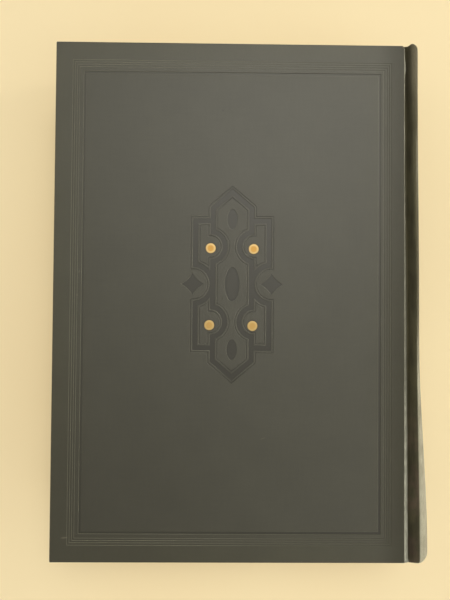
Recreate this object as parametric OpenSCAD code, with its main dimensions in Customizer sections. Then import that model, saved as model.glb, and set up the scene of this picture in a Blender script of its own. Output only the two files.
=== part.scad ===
// Cloth-bound hardback book with a rounded and backed spine, lying on its front cover.
// X runs from the fore-edge to the spine, Y from the tail to the head and Z from the
// front cover up to the back cover. The origin is the centre of the front cover's face.

/* [Covers] */
// Width of a covered board, from the fore-edge to the spine edge
cover_w = 167; // [120:0.5:220]
// Height of a covered board, from the tail to the head
cover_h = 247; // [160:0.5:320]
// Thickness of the bare greyboard
board_t = 2.5; // [1.5:0.1:4]
// Thickness of the book cloth
cloth_t = 0.4; // [0.3:0.05:0.6]
// Width of the cloth turned in over the inside of a board
turn_in = 15; // [8:0.5:25]
// Radius of the free edges of a covered board
edge_r = 0.8; // [0.5:0.1:1.2]
// Radius of the covered board's outer edge along the spine
joint_edge_r = 1.5; // [0.6:0.1:1.8]
// Radius of a covered board's corners in plan
corner_r = 1.2; // [0.5:0.1:4]

/* [Pages] */
// Thickness of the pages between the two flyleaves
pages_t = 32.6; // [15:0.2:60]
// How far a board stands out beyond the pages at the head, tail and fore-edge
square_w = 3; // [2:0.5:5]
// Depth of the round hollow in the fore-edge
fore_hollow = 3.5; // [1:0.1:6]
// Thickness of one leaf of an endpaper
endpaper_t = 0.2; // [0.15:0.05:0.3]
// Distance from a board's free edges to its pastedown
paste_margin = 3.3; // [2:0.1:8]

/* [Backed spine of the pages] */
// Distance from the board's edge to the root of the shoulder
shoulder_root = 2.2; // [1.5:0.1:2.6]
// Distance from the board's edge to the tip of the shoulder
shoulder_out = 4.7; // [3.8:0.1:4.9]
// Height of the shoulder above the face of the pages
shoulder_h = 1.7; // [0.8:0.1:1.9]
// Rise of the rounded spine from the shoulder tips to its middle
backing_round = 4.6; // [2:0.1:4.9]
// Thickness of the mull glued on the spine
mull_t = 0.3; // [0.2:0.05:0.4]
// Thickness of the spine lining paper
lining_t = 0.2; // [0.1:0.05:0.3]
// Distance from the tape of a head or tail band to the mull
mull_gap = 2; // [0.5:0.5:15]
// Distance from the shoulder tips to the edges of the linings
lining_inset = 0.5; // [0.3:0.1:2]

/* [Head and tail bands] */
// Radius of the band's bead
bead_r = 1; // [0.6:0.1:1.3]
// Thickness of the band's tape
tape_t = 0.3; // [0.2:0.05:0.4]
// Length of tape glued on the spine
tape_len = 14; // [6:0.5:25]

/* [Case spine] */
// Depth of the French groove below the face of the cover
groove_d = 3; // [2:0.1:3]
// Distance from the board's edge to the floor of the groove
groove_out = 2; // [1.6:0.1:2.4]
// Drop of the spine's ridge below the face of the cover
ridge_drop = 0.3; // [0:0.1:0.8]
// Distance from the board's edge to the ridge at the head
ridge_head = 3.9; // [3.6:0.1:4.4]
// Distance from the board's edge to the ridge from the middle down
ridge_tail = 6.5; // [4.6:0.1:6.8]
// Distance from the board's edge to the crest at the head
crest_head = 6.3; // [6:0.1:7]
// Distance from the board's edge to the crest at the tail
crest_tail = 8; // [6.4:0.1:8.2]
// Rise of the case spine from crest to middle at the head
round_head = 5.5; // [5:0.1:8]
// Rise of the case spine from crest to middle at the tail
round_tail = 9.8; // [5.6:0.1:10.5]
// How far the spine stands out beyond the boards at the head
head_over = 1.1; // [0:0.1:2.5]
// Radius in plan of the spine's corners at head and tail
cap_r = 2; // [1:0.1:2.4]
// Thickness of the inlay card in the spine
inlay_t = 0.6; // [0.3:0.05:0.8]
// Clearance that the turning board keeps to the joint's cloth
joint_gap = 0.3; // [0.2:0.05:0.5]
// Height of the joint cloth's edge above the inner face of the board's cloth
joint_lap = 1.4; // [0.5:0.1:1.6]

/* [Hinges] */
// Distance from the board's edge to the line that a cover turns about
hinge_out = 5.3; // [5.2:0.05:5.5]
// Depth of that line below the face of the cover
hinge_drop = 0.8; // [0.7:0.05:1]

/* [Blind border] */
// Width of the bold line
bold_w = 1.2; // [0.6:0.1:2]
// Width of a fine line
fine_w = 0.5; // [0.3:0.05:0.6]
// Number of fine lines
fine_count = 4; // [0:1:5]
// Distance from the bold line to the first fine line
fine_start = 2.3; // [1.4:0.1:3]
// Distance between fine lines
fine_pitch = 1.1; // [0.8:0.1:1.2]
// Distance from the fore-edge and the tail to the bold line
border_free = 14.2; // [12:0.1:25]
// Distance from the head to the bold line
border_head = 14.8; // [12:0.1:25]
// Distance from the spine edge to the bold line
border_spine = 11.8; // [10:0.1:25]
// Depth of all blind lines and straps
tool_depth = 0.25; // [0.1:0.05:0.25]

/* [Strapwork ornament] */
// Ornament's centre, towards the spine from the middle of the cover
orn_x = 1.4; // [-5:0.1:5]
// Ornament's centre, towards the head from the middle of the cover
orn_y = 7.7; // [-20:0.1:20]
// Width of a strap
strap_w = 2.5; // [1.5:0.1:3]
// Distance from a strap's middle to the fine line beside it
flank_off = 2.1; // [2:0.05:2.6]
// Width of the fine lines beside the straps
flank_w = 0.35; // [0.2:0.05:0.5]
// Distance from the centre to the inner upright straps
inner_x = 9.2; // [8:0.1:11]
// Distance from the centre to the outer upright straps
outer_x = 17.5; // [16:0.1:21]
// Height of the side bars above the centre
bar_y = 30.2; // [28:0.1:33]
// Height of the shoulders above the centre
peak_y = 36.2; // [35:0.1:40]
// Height of the points above the centre
apex_y = 44; // [42:0.1:48]
// Radius of the strap round a gilt dot
dot_loop_r = 7.2; // [6.8:0.1:7.6]
// Distance from the centre to the middle of that round, across the cover
loop_x = 10.6; // [9.8:0.1:11.4]
// Distance from the centre to the middle of that round, up the cover
loop_y = 17.9; // [17:0.1:18.8]
// Radius of the strap round a lozenge
side_loop_r = 9.3; // [8.8:0.1:9.8]
// Distance from the outer strap to the middle of the lozenge
side_out = 1.3; // [0.5:0.1:2]
// Half width and half height of a lozenge
lozenge = [5.4, 5];
// Half width and half height of the oval in the middle
oval = [3.5, 8];
// Width of that oval's rim
oval_rim = 1; // [0.6:0.1:1.4]
// Half width and half height of the two small ovals
eyelet = [2.5, 4.8];
// Height of the small ovals above the centre
eyelet_y = 31; // [29:0.1:34]

/* [Gilt dots] */
// Radius of a dot
dot_r = 2.4; // [1.5:0.1:3.5]
// Distance between dots across the cover
dot_pitch_x = 20.5; // [18:0.1:23]
// Distance between dots up the cover
dot_pitch_y = 36.6; // [34:0.1:39]
// Thickness of a dot at its middle
dot_t = 0.2; // [0.1:0.02:0.24]
// Turn of the foil stamp against the blind stamp, in degrees
foil_turn = -0.7; // [-2:0.1:2]
// Shift of the foil stamp against the blind stamp
foil_shift = [-0.2, -1.3];

/* [Hidden] */
$fn = 96;
cloth_colour = [0.37, 0.355, 0.3];
greyboard_colour = [0.55, 0.5, 0.42];
page_colour = [0.9, 0.85, 0.72];
endpaper_colour = [0.93, 0.89, 0.78];
mull_colour = [0.85, 0.82, 0.74];
lining_colour = [0.7, 0.6, 0.45];
band_colour = [0.72, 0.66, 0.5];
gilt_colour = [0.88, 0.68, 0.36];

// Thickness of a covered board with its pastedown, and of the whole book
shell_t = board_t + 2 * cloth_t;
cover_t = shell_t + endpaper_t;
book_t = pages_t + 2 * endpaper_t + 2 * cover_t;
mid_z = book_t / 2;
edge_x = cover_w / 2;
page_h = cover_h - 2 * square_w;

// Backed pages: top face, shoulder tip, its fillet and the round of the spine
page_x = square_w - edge_x;
page_z = mid_z + pages_t / 2;
root_x = edge_x + shoulder_root;
tip_x = edge_x + shoulder_out;
tip_half = pages_t / 2 + shoulder_h;
fillet_r = (pow(tip_x - root_x, 2) + pow(shoulder_h, 2)) / (2 * shoulder_h);
backing_r = (pow(tip_half, 2) + pow(backing_round, 2)) / (2 * backing_round);
backing_x = tip_x + backing_round - backing_r;
fore_r = (pow(pages_t / 2, 2) + pow(fore_hollow, 2)) / (2 * fore_hollow);
backing_turn = asin((tip_half - lining_inset) / backing_r);
mull_h = page_h - 2 * (tape_len + mull_gap);
past = 5;

// Play between curved layers that are glued together, and the depth of the turned-in cloth
glue = 0.02;
fold_in = 2 * cloth_t + inlay_t;

// Circle through the ends of a chord: radius from its half length and its rise
function arc_r(half, rise) = (half * half + rise * rise) / (2 * rise);
function ease(t) = let (s = min(1, max(0, t))) s * s * (3 - 2 * s);
function mix(a, b, t) = a + (b - a) * t;

// The case spine as a surface. Its section at a height y has a start beside the board,
// the groove, the ridge and half of the round; the other half mirrors it.
groove_steps = 5;
rise_steps = 6;
crest_steps = 5;
round_steps = 7;
crest_arc = 2.4;
lift_len = 12;
head_y = cover_h / 2 + head_over;
tail_y = -cover_h / 2;
function flare(y) = ease(-y / (cover_h / 2));
function pull_at(d) = d >= cap_r ? 0 : cap_r - sqrt(cap_r * cap_r - pow(cap_r - d, 2));
function pull(y) = pull_at(min(head_y - y, y - tail_y));
function crest(y) = mix(crest_head, crest_tail, flare(y)) - pull(y);
function rise(y) = mix(round_head, round_tail, flare(y));
function drop(y) = ridge_drop + 0.3 * pull(y);
function ridge(y) = min(
    mix(ridge_head, ridge_tail, ease((head_y - y) / (head_y + 20))) + 0.2 * pull(y),
    crest(y) - 0.2);
function half_section(y) =
    let (
        start_v = joint_lap - shell_t,
        start_u = hinge_out - sqrt(pow(hinge_out - joint_gap, 2) - pow(start_v + hinge_drop, 2)),
        rdg = ridge(y),
        low = drop(y),
        half = mid_z - low,
        big_r = arc_r(half, rise(y)),
        cx = crest(y) + rise(y) - big_r,
        turn = asin(half / big_r) - crest_arc / big_r * 180 / PI,
        px = cx + big_r * cos(turn),
        pv = big_r * sin(turn) - mid_z,
        qx = px - (-low - pv) * tan(turn),
        sx = max(rdg, qx - crest_arc)
    )
    concat(
        [for (i = [0 : groove_steps - 1]) let (t = i / groove_steps)
            [mix(start_u, groove_out, t), mix(start_v, -groove_d, sin(90 * t))]],
        [for (i = [0 : rise_steps - 1]) let (t = i / rise_steps)
            [mix(groove_out, rdg, t), mix(-groove_d, -low, (1 - cos(180 * t)) / 2)]],
        [for (i = [0 : crest_steps - 1]) let (t = i / crest_steps)
            [(1 - t) * (1 - t) * sx + 2 * t * (1 - t) * qx + t * t * px,
                (1 - t) * (1 - t) * -low + 2 * t * (1 - t) * -low + t * t * pv]],
        [for (i = [0 : round_steps]) let (a = turn * (1 - i / round_steps))
            [cx + big_r * cos(a), big_r * sin(a) - mid_z]]
    );
function flip(p) = [for (i = [len(p) - 2 : -1 : 0]) [p[i][0], -book_t - p[i][1]]];
function section(y) = let (h = half_section(y)) concat(h, flip(h));
function unit(v) = v / norm(v);
function inward(p, i) = let (
    a = p[max(0, i - 1)], b = p[min(len(p) - 1, i + 1)], d = unit(b - a)) [d[1], -d[0]];
function inset(p, off) = [for (i = [0 : len(p) - 1]) p[i] + off * inward(p, i)];
// The groove ends level with the boards and the ridge stands out by head_over
function reach(i, n) = ease((min(i, n - 1 - i) - groove_steps) / rise_steps);
function lift(y, i, n) = y - head_over * (1 - reach(i, n)) * ease((y - head_y + lift_len) / lift_len);

// Rows up the spine, closer together in its rounded corners. All layers share them, so
// that their facets lie on each other: a row stands where the inlay card ends and where
// the turned-in cloth ends.
card_in = cloth_t + glue;
end_rows = [0, 0.15, card_in, mix(card_in, cap_r, 0.25), mix(card_in, cap_r, 0.6), cap_r];
body_rows = [0, 0.11, 0.24, 0.38, 0.55, 0.75, 1];
all_rows = concat(
    [for (e = end_rows) tail_y + e],
    [for (t = body_rows) mix(tail_y + turn_in, head_y - turn_in, t)],
    [for (k = [len(end_rows) - 1 : -1 : 0]) head_y - end_rows[k]]);
near_enough = 0.001;
function rows(y0, y1) = [for (y = all_rows) if (y > y0 - near_enough && y < y1 + near_enough) y];
function plies(y0, y1, near, far) = [for (y = rows(y0, y1)) [[near, y], [far, y]]];

// Layer of the case spine that follows a list of pairs [depth, height], one of each pair
// for either face, and leaves out the first and last points of the section by skip
module spine_layer(pairs, skip) {
    n_all = len(section(0));
    n = n_all - 2 * skip;
    m = len(pairs);
    in0 = m * n;
    function ring(p) = let (y = p[1], s = inset(section(y), p[0]))
        [for (i = [skip : n_all - 1 - skip])
            [edge_x + s[i][0], lift(y, i, n_all), book_t + s[i][1]]];
    points = concat([for (p = pairs) each ring(p[0])], [for (p = pairs) each ring(p[1])]);
    quads = concat(
        [for (j = [0 : m - 2]) for (i = [0 : n - 2]) let (k = j * n + i)
            [k, k + 1, k + n + 1, k + n]],
        [for (j = [0 : m - 2]) for (i = [0 : n - 2]) let (k = in0 + j * n + i)
            [k, k + n, k + n + 1, k + 1]],
        [for (i = [0 : n - 2]) [i, in0 + i, in0 + i + 1, i + 1]],
        [for (i = [0 : n - 2]) let (k = (m - 1) * n + i) [k, k + 1, in0 + k + 1, in0 + k]],
        [for (j = [0 : m - 2]) let (k = j * n) [k, k + n, in0 + k + n, in0 + k]],
        [for (j = [0 : m - 2]) let (k = j * n + n - 1) [k, in0 + k, in0 + k + n, k + n]]
    );
    polyhedron(points, [for (q = quads) each [[q[0], q[2], q[1]], [q[0], q[3], q[2]]]]);
}

// Stands a drawing of the book's section up, centred on the middle of its height
module along_height(h) {
    translate([0, h / 2, 0]) rotate([90, 0, 0]) linear_extrude(h) children();
}

// Carries the back cover's piece over to the front cover
module to_front() {
    translate([0, 0, book_t]) mirror([0, 0, 1]) children();
}

module text_block() {
    color(page_colour) along_height(page_h) difference() {
        union() {
            translate([page_x, mid_z - pages_t / 2]) square([root_x + 1 - page_x, pages_t]);
            difference() {
                intersection() {
                    translate([backing_x, mid_z]) circle(backing_r);
                    translate([root_x, mid_z - tip_half]) square([backing_r, 2 * tip_half]);
                }
                for (side = [-1, 1]) {
                    translate([root_x, mid_z + side * (pages_t / 2 + fillet_r)]) circle(fillet_r);
                }
            }
        }
        translate([page_x + fore_hollow - fore_r, mid_z]) circle(fore_r);
    }
}

// Flyleaf: flat on the pages, then up the shoulder to its tip
module back_flyleaf() {
    color(endpaper_colour) along_height(page_h) {
        translate([page_x, page_z]) square([root_x - page_x, endpaper_t]);
        intersection() {
            translate([root_x, page_z + fillet_r]) difference() {
                circle(fillet_r - glue);
                circle(fillet_r - endpaper_t);
            }
            translate([root_x, page_z]) square([tip_x - root_x, shoulder_h]);
        }
    }
}

module front_flyleaf() {
    to_front() back_flyleaf();
}

// Layer on the rounded spine, between two distances from it
module backing_layer(near, far, h) {
    along_height(h) intersection() {
        translate([backing_x, mid_z]) difference() {
            circle(backing_r + far);
            circle(backing_r + near);
        }
        translate([root_x, mid_z - tip_half + lining_inset])
            square([backing_r, 2 * (tip_half - lining_inset)]);
    }
}

module spine_mull() {
    color(mull_colour) backing_layer(glue, mull_t, mull_h);
}

module spine_lining() {
    color(lining_colour) backing_layer(mull_t + glue, mull_t + lining_t, mull_h);
}

// Band: a bead that stands on the end of the pages and a tape glued down their spine
module head_band() {
    color(band_colour)
        translate([backing_x, page_h / 2, mid_z]) rotate([-90, 0, 0]) rotate([0, 0, -backing_turn])
            rotate_extrude(angle = 2 * backing_turn) {
                intersection() {
                    translate([backing_r + tape_t - bead_r, bead_r / 3]) circle(bead_r);
                    translate([backing_r + tape_t - 2 * bead_r, 0]) square(2 * bead_r);
                }
                translate([backing_r + glue, -tape_len])
                    square([tape_t - glue, tape_len + bead_r / 3]);
            }
}

module tail_band() {
    mirror([0, 1, 0]) head_band();
}

// Points of the section between the board and the edge of the inlay card
inlay_skip = groove_steps + rise_steps + 1;

module spine_inlay() {
    color(greyboard_colour) spine_layer(
        plies(tail_y + card_in, head_y - card_in, card_in, cloth_t + inlay_t - glue), inlay_skip);
}

// Cloth turned in over the tail end of the inlay card, then over its head end
tail_fold = concat(
    [[[cloth_t / 2, tail_y + cloth_t], [cloth_t / 2, tail_y + glue]]],
    [[[cloth_t + inlay_t, tail_y + cloth_t], [fold_in, tail_y + glue]]],
    plies(tail_y + card_in, tail_y + turn_in, cloth_t + inlay_t, fold_in));
head_fold = concat(
    [[[cloth_t / 2, head_y - glue], [cloth_t / 2, head_y - cloth_t]]],
    [[[fold_in, head_y - glue], [cloth_t + inlay_t, head_y - cloth_t]]],
    [let (p = plies(head_y - turn_in, head_y - card_in, fold_in, cloth_t + inlay_t))
        for (k = [len(p) - 1 : -1 : 0]) p[k]]);

// Cloth of the joints and the spine
module spine_cloth() {
    color(cloth_colour) {
        spine_layer(plies(tail_y, head_y, 0, cloth_t), 0);
        spine_layer(tail_fold, inlay_skip);
        spine_layer(head_fold, inlay_skip);
    }
}

// Rectangle with its own radius on each pair of corners: left, right top and right bottom
module soft_rect(w, h, r_left, r_top, r_low) {
    difference() {
        square([w, h]);
        for (c = [[0, 0, 0, r_left], [0, h, 3, r_left], [w, h, 2, r_top], [w, 0, 1, r_low]]) {
            translate([c[0], c[1]]) rotate(90 * c[2]) translate([-past, -past]) difference() {
                square(past + c[3]);
                translate([past + c[3], past + c[3]]) circle(c[3]);
            }
        }
    }
}

// Slab of the covered board or of the greyboard in it, with all its edges eased
module soft_slab(inset_by, top, bottom) {
    w = cover_w - 2 * inset_by;
    h = cover_h - 2 * inset_by;
    t = top - bottom;
    free_r = edge_r - inset_by;
    intersection() {
        translate([-w / 2, h / 2, bottom]) rotate([90, 0, 0]) linear_extrude(h)
            soft_rect(w, t, free_r, joint_edge_r - inset_by, free_r / 2);
        translate([-w / 2, -h / 2, bottom]) rotate([90, 0, 90]) linear_extrude(w)
            soft_rect(h, t, free_r, free_r, free_r);
        translate([-w / 2, -h / 2, bottom]) linear_extrude(t)
            soft_rect(w, h, corner_r - inset_by / 2, corner_r - inset_by / 2, corner_r - inset_by / 2);
    }
}

module back_board() {
    color(greyboard_colour)
        soft_slab(cloth_t, book_t - cloth_t, book_t - cloth_t - board_t);
}

module front_board() {
    to_front() back_board();
}

// Cloth over one cover: face, three turned-in edges and the drop at the joint
module cover_cloth() {
    difference() {
        soft_slab(0, book_t, book_t - shell_t);
        soft_slab(cloth_t, book_t - cloth_t, book_t - cloth_t - board_t);
        translate([turn_in - edge_x, turn_in - cover_h / 2, book_t - shell_t - past])
            cube([cover_w - turn_in - cloth_t, cover_h - 2 * turn_in, past + cloth_t + edge_r]);
    }
}

// Lines of the border, each a ring round the cover
module border_ring(off, w) {
    x0 = border_free - edge_x - off;
    x1 = edge_x - border_spine + off;
    y0 = border_free - cover_h / 2 - off;
    y1 = cover_h / 2 - border_head + off;
    difference() {
        translate([x0 - w / 2, y0 - w / 2]) square([x1 - x0 + w, y1 - y0 + w]);
        translate([x0 + w / 2, y0 + w / 2]) square([x1 - x0 - w, y1 - y0 - w]);
    }
}

module border() {
    border_ring(0, bold_w);
    for (i = [0 : 1 : fine_count - 1]) {
        border_ring(fine_start + i * fine_pitch, fine_w);
    }
}

// Upright strap, and a bar across, each of width w between its middle points
module upright(x, y0, y1, w) {
    translate([x - w / 2, y0]) square([w, y1 - y0]);
}

module bar(x0, x1, y, w) {
    translate([x0, y - w / 2]) square([x1 - x0, w]);
}

// Quarter of the strapwork at a strap width w
module strap_quarter(w) {
    loop_reach = sqrt(pow(dot_loop_r, 2) - pow(loop_x - inner_x, 2));
    side_reach = sqrt(pow(side_loop_r, 2) - pow(side_out, 2));
    slope = atan((apex_y - peak_y) / inner_x);
    lean_w = w / 2 / cos(slope);
    polygon([
        [0, apex_y + lean_w],
        [0, apex_y - lean_w],
        [inner_x - w / 2, peak_y + w / 2 * tan(slope) - lean_w],
        [inner_x - w / 2, peak_y - w],
        [inner_x + w / 2, peak_y - w],
        [inner_x + w / 2, peak_y - w / 2 * tan(slope) + lean_w],
    ]);
    upright(inner_x, loop_y + loop_reach, peak_y, w);
    upright(inner_x, 0, loop_y - loop_reach, w);
    bar(inner_x, outer_x + w / 2, bar_y, w);
    upright(outer_x, side_reach, bar_y, w);
    intersection() {
        translate([loop_x, loop_y]) difference() {
            circle(dot_loop_r + w / 2);
            circle(dot_loop_r - w / 2);
        }
        translate([0, loop_y - loop_reach - w / 2])
            square([inner_x + w / 2, 2 * loop_reach + w]);
    }
    intersection() {
        translate([outer_x + side_out, 0]) difference() {
            circle(side_loop_r + w / 2);
            circle(side_loop_r - w / 2);
        }
        square([outer_x + w / 2, side_loop_r + w]);
    }
}

module strapwork(w) {
    for (mx = [0, 1], my = [0, 1]) {
        mirror([mx, 0]) mirror([0, my]) strap_quarter(w);
    }
}

// Four-centred oval from its half width and half height
module four_oval(a, b) {
    end_r = 0.6 * a;
    end_y = b - end_r;
    side_r = (a * a + end_y * end_y - end_r * end_r) / (2 * (a - end_r));
    meet_y = end_y * side_r / (side_r - end_r);
    for (s = [-1, 1]) {
        translate([0, s * end_y]) circle(end_r);
    }
    intersection() {
        translate([a - side_r, 0]) circle(side_r);
        translate([side_r - a, 0]) circle(side_r);
        translate([-a, -meet_y]) square([2 * a, 2 * meet_y]);
    }
}

// Lozenge with hollow sides
module hollow_lozenge() {
    a = lozenge[0];
    b = lozenge[1];
    side = sqrt(a * a + b * b);
    hollow_r = 1.8 * side;
    dist = sqrt(hollow_r * hollow_r - side * side / 4);
    difference() {
        polygon([[a, 0], [0, b], [-a, 0], [0, -b]]);
        for (sx = [-1, 1], sy = [-1, 1]) {
            translate([sx * (a / 2 + dist * b / side), sy * (b / 2 + dist * a / side)])
                circle(hollow_r);
        }
    }
}

// All that the blind stamp presses to its full depth
module blind_stamp() {
    border();
    translate([orn_x, orn_y]) {
        strapwork(strap_w);
        difference() {
            strapwork(2 * flank_off + flank_w);
            strapwork(2 * flank_off - flank_w);
        }
        difference() {
            four_oval(oval[0], oval[1]);
            four_oval(oval[0] - oval_rim, oval[1] - oval_rim);
        }
        for (s = [-1, 1]) {
            translate([0, s * eyelet_y]) four_oval(eyelet[0], eyelet[1]);
            translate([s * (outer_x + side_out), 0]) hollow_lozenge();
        }
    }
}

module at_dots() {
    translate([orn_x + foil_shift[0], orn_y + foil_shift[1]]) rotate(foil_turn)
        for (sx = [-1, 1], sy = [-1, 1]) {
            translate([sx * dot_pitch_x / 2, sy * dot_pitch_y / 2]) children();
        }
}

module back_cover_cloth() {
    color(cloth_colour) difference() {
        cover_cloth();
        translate([0, 0, book_t - tool_depth]) linear_extrude(past) blind_stamp();
        translate([0, 0, book_t - tool_depth / 2]) linear_extrude(past)
            translate([orn_x, orn_y]) four_oval(oval[0] - oval_rim / 2, oval[1] - oval_rim / 2);
        translate([0, 0, book_t - tool_depth]) at_dots() cylinder(h = past, r = dot_r);
    }
}

module front_cover_cloth() {
    color(cloth_colour) to_front() cover_cloth();
}

// Foil dots, pressed thinner towards the rim
module gilt_dots() {
    color(gilt_colour) translate([0, 0, book_t - tool_depth]) at_dots()
        rotate_extrude() polygon([
            [0, 0], [dot_r, 0], [dot_r, dot_t / 2], [dot_r * 0.8, dot_t], [0, dot_t]]);
}

// Pastedown: on the turned-in cloth round its margin and sunk onto the board inside it
module back_pastedown() {
    inner_z = book_t - shell_t;
    well_x = turn_in - edge_x;
    well_y = turn_in - cover_h / 2;
    color(endpaper_colour) difference() {
        union() {
            translate([paste_margin - edge_x, paste_margin - cover_h / 2, inner_z - endpaper_t])
                cube([cover_w - paste_margin, cover_h - 2 * paste_margin, endpaper_t]);
            translate([well_x, well_y, inner_z - endpaper_t / 2])
                cube([cover_w - turn_in - cloth_t, -2 * well_y, cloth_t + endpaper_t / 2]);
        }
        translate([well_x + endpaper_t, well_y + endpaper_t, inner_z - endpaper_t - past])
            cube([cover_w - turn_in - cloth_t - 2 * endpaper_t, -2 * (well_y + endpaper_t),
                past + cloth_t]);
    }
}

module front_pastedown() {
    to_front() back_pastedown();
}

text_block();
back_flyleaf();
front_flyleaf();
spine_mull();
spine_lining();
head_band();
tail_band();
spine_inlay();
spine_cloth();
back_board();
back_cover_cloth();
gilt_dots();
back_pastedown();
front_board();
front_cover_cloth();
front_pastedown();
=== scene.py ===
import math
import random

import bmesh
import bpy
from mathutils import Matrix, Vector, noise
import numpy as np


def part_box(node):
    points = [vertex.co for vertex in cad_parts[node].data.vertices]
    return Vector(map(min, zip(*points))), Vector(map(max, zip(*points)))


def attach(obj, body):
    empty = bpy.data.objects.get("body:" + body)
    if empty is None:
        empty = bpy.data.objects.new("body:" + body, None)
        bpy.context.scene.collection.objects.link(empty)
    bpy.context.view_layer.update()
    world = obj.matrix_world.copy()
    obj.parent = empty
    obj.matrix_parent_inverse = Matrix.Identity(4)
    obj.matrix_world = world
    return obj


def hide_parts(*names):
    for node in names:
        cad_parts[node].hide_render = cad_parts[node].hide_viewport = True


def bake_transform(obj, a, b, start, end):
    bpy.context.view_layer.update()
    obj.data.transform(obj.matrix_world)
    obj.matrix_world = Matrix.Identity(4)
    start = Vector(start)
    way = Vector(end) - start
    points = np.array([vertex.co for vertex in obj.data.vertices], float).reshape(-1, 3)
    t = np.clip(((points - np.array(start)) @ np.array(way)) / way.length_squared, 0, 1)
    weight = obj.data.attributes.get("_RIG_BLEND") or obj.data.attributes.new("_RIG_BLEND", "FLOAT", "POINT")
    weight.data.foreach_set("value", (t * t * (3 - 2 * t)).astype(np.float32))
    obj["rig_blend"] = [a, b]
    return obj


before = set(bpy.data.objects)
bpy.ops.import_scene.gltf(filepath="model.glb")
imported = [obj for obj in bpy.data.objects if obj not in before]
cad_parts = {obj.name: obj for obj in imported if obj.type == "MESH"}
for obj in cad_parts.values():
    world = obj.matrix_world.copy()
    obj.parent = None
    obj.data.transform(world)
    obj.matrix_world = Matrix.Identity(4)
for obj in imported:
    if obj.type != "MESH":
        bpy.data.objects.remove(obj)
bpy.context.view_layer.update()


# Pages
# Twenty sewn sections of cream book paper, glued up at the spine, then rounded and backed so
# that their folds fan out into two shoulders. The head, tail and fore-edge are cut smooth.
MM = 0.001
page_low, page_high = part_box("text_block")
flyleaf_low, flyleaf_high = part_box("back_flyleaf")
mid_z = (page_low.z + page_high.z) / 2
tip_half = (page_high.z - page_low.z) / 2
pages_half = flyleaf_low.z - mid_z
pages_up = page_high.y
tip_x = flyleaf_high.x
shoulder_w = 2.5 * MM
root_x = tip_x - shoulder_w
fore_hollow = 3.5 * MM
section_count = 20
rows_in_section = 8
fold_depth = 0.35 * MM
cut_play = 0.06 * MM
cut_seed = 4
cut_waves, cut_change = 60, 0.37
flat_steps = 8
shoulder_steps = 5
up_steps = 14
leaf_shadow = (0.42, 0.335, 0.2, 1)
leaf_light = (0.72, 0.63, 0.45, 1)
leaf_toned = (0.5, 0.38, 0.2, 1)


def arc_radius(half, rise):
    """Radius of the arc that stands over a chord of that half length with that rise."""
    return (half * half + rise * rise) / (2 * rise)


backing_r = arc_radius(tip_half, page_high.x - tip_x)
backing_x = page_high.x - backing_r
fore_r = arc_radius(pages_half, fore_hollow)
fillet_r = arc_radius(shoulder_w, tip_half - pages_half)


def mix(a, b, t):
    return a + (b - a) * t


def ease(t):
    t = min(1, max(0, t))
    return t * t * (3 - 2 * t)


def leaf_half(x):
    """Half the thickness of the pages at x, with the fillet of the shoulder."""
    past_root = min(max(0, x - root_x), shoulder_w)
    return pages_half + fillet_r - math.sqrt(fillet_r ** 2 - past_root ** 2)


def leaf_path(leaf):
    """Points (x, z) of one leaf from the fore-edge to the spine; leaf runs from -1 to 1."""
    fore_x = page_low.x + fore_hollow - fore_r + math.sqrt(fore_r ** 2 - (leaf * pages_half) ** 2)
    spine_x = backing_x + math.sqrt(backing_r ** 2 - (leaf * tip_half) ** 2)
    xs = [mix(fore_x, root_x, i / flat_steps) for i in range(flat_steps)]
    xs += [mix(root_x, tip_x, i / shoulder_steps) for i in range(shoulder_steps + 1)]
    return [(x, mid_z + leaf * leaf_half(x)) for x in xs + [spine_x]]


def put_in_scene(name, data):
    """Object at the origin, with that mesh, lamp or camera."""
    thing = bpy.data.objects.new(name, data)
    bpy.context.scene.collection.objects.link(thing)
    return thing


def make_piece(name, points, faces, uvs=None, marks=None, smooth_angle=None):
    """Mesh object with merged points and outward faces. marks holds one list of numbers a name."""
    bm = bmesh.new()
    for key in marks or ():
        bm.verts.layers.float.new(key)
    layer = bm.loops.layers.uv.new("UVMap") if uvs else None
    verts = [bm.verts.new(p) for p in points]
    for key, values in (marks or {}).items():
        mark = bm.verts.layers.float[key]
        for vert, value in zip(verts, values):
            vert[mark] = value
    for face in faces:
        made = bm.faces.new([verts[i] for i in face])
        made.smooth = smooth_angle is not None
        if uvs:
            for loop, i in zip(made.loops, face):
                loop[layer].uv = uvs[i]
    bmesh.ops.remove_doubles(bm, verts=bm.verts, dist=1e-7)
    bmesh.ops.recalc_face_normals(bm, faces=bm.faces)
    mesh = bpy.data.meshes.new(name)
    bm.to_mesh(mesh)
    bm.free()
    if smooth_angle is not None:
        mesh.set_sharp_from_angle(angle=math.radians(smooth_angle))
    return put_in_scene(name, mesh)


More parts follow.
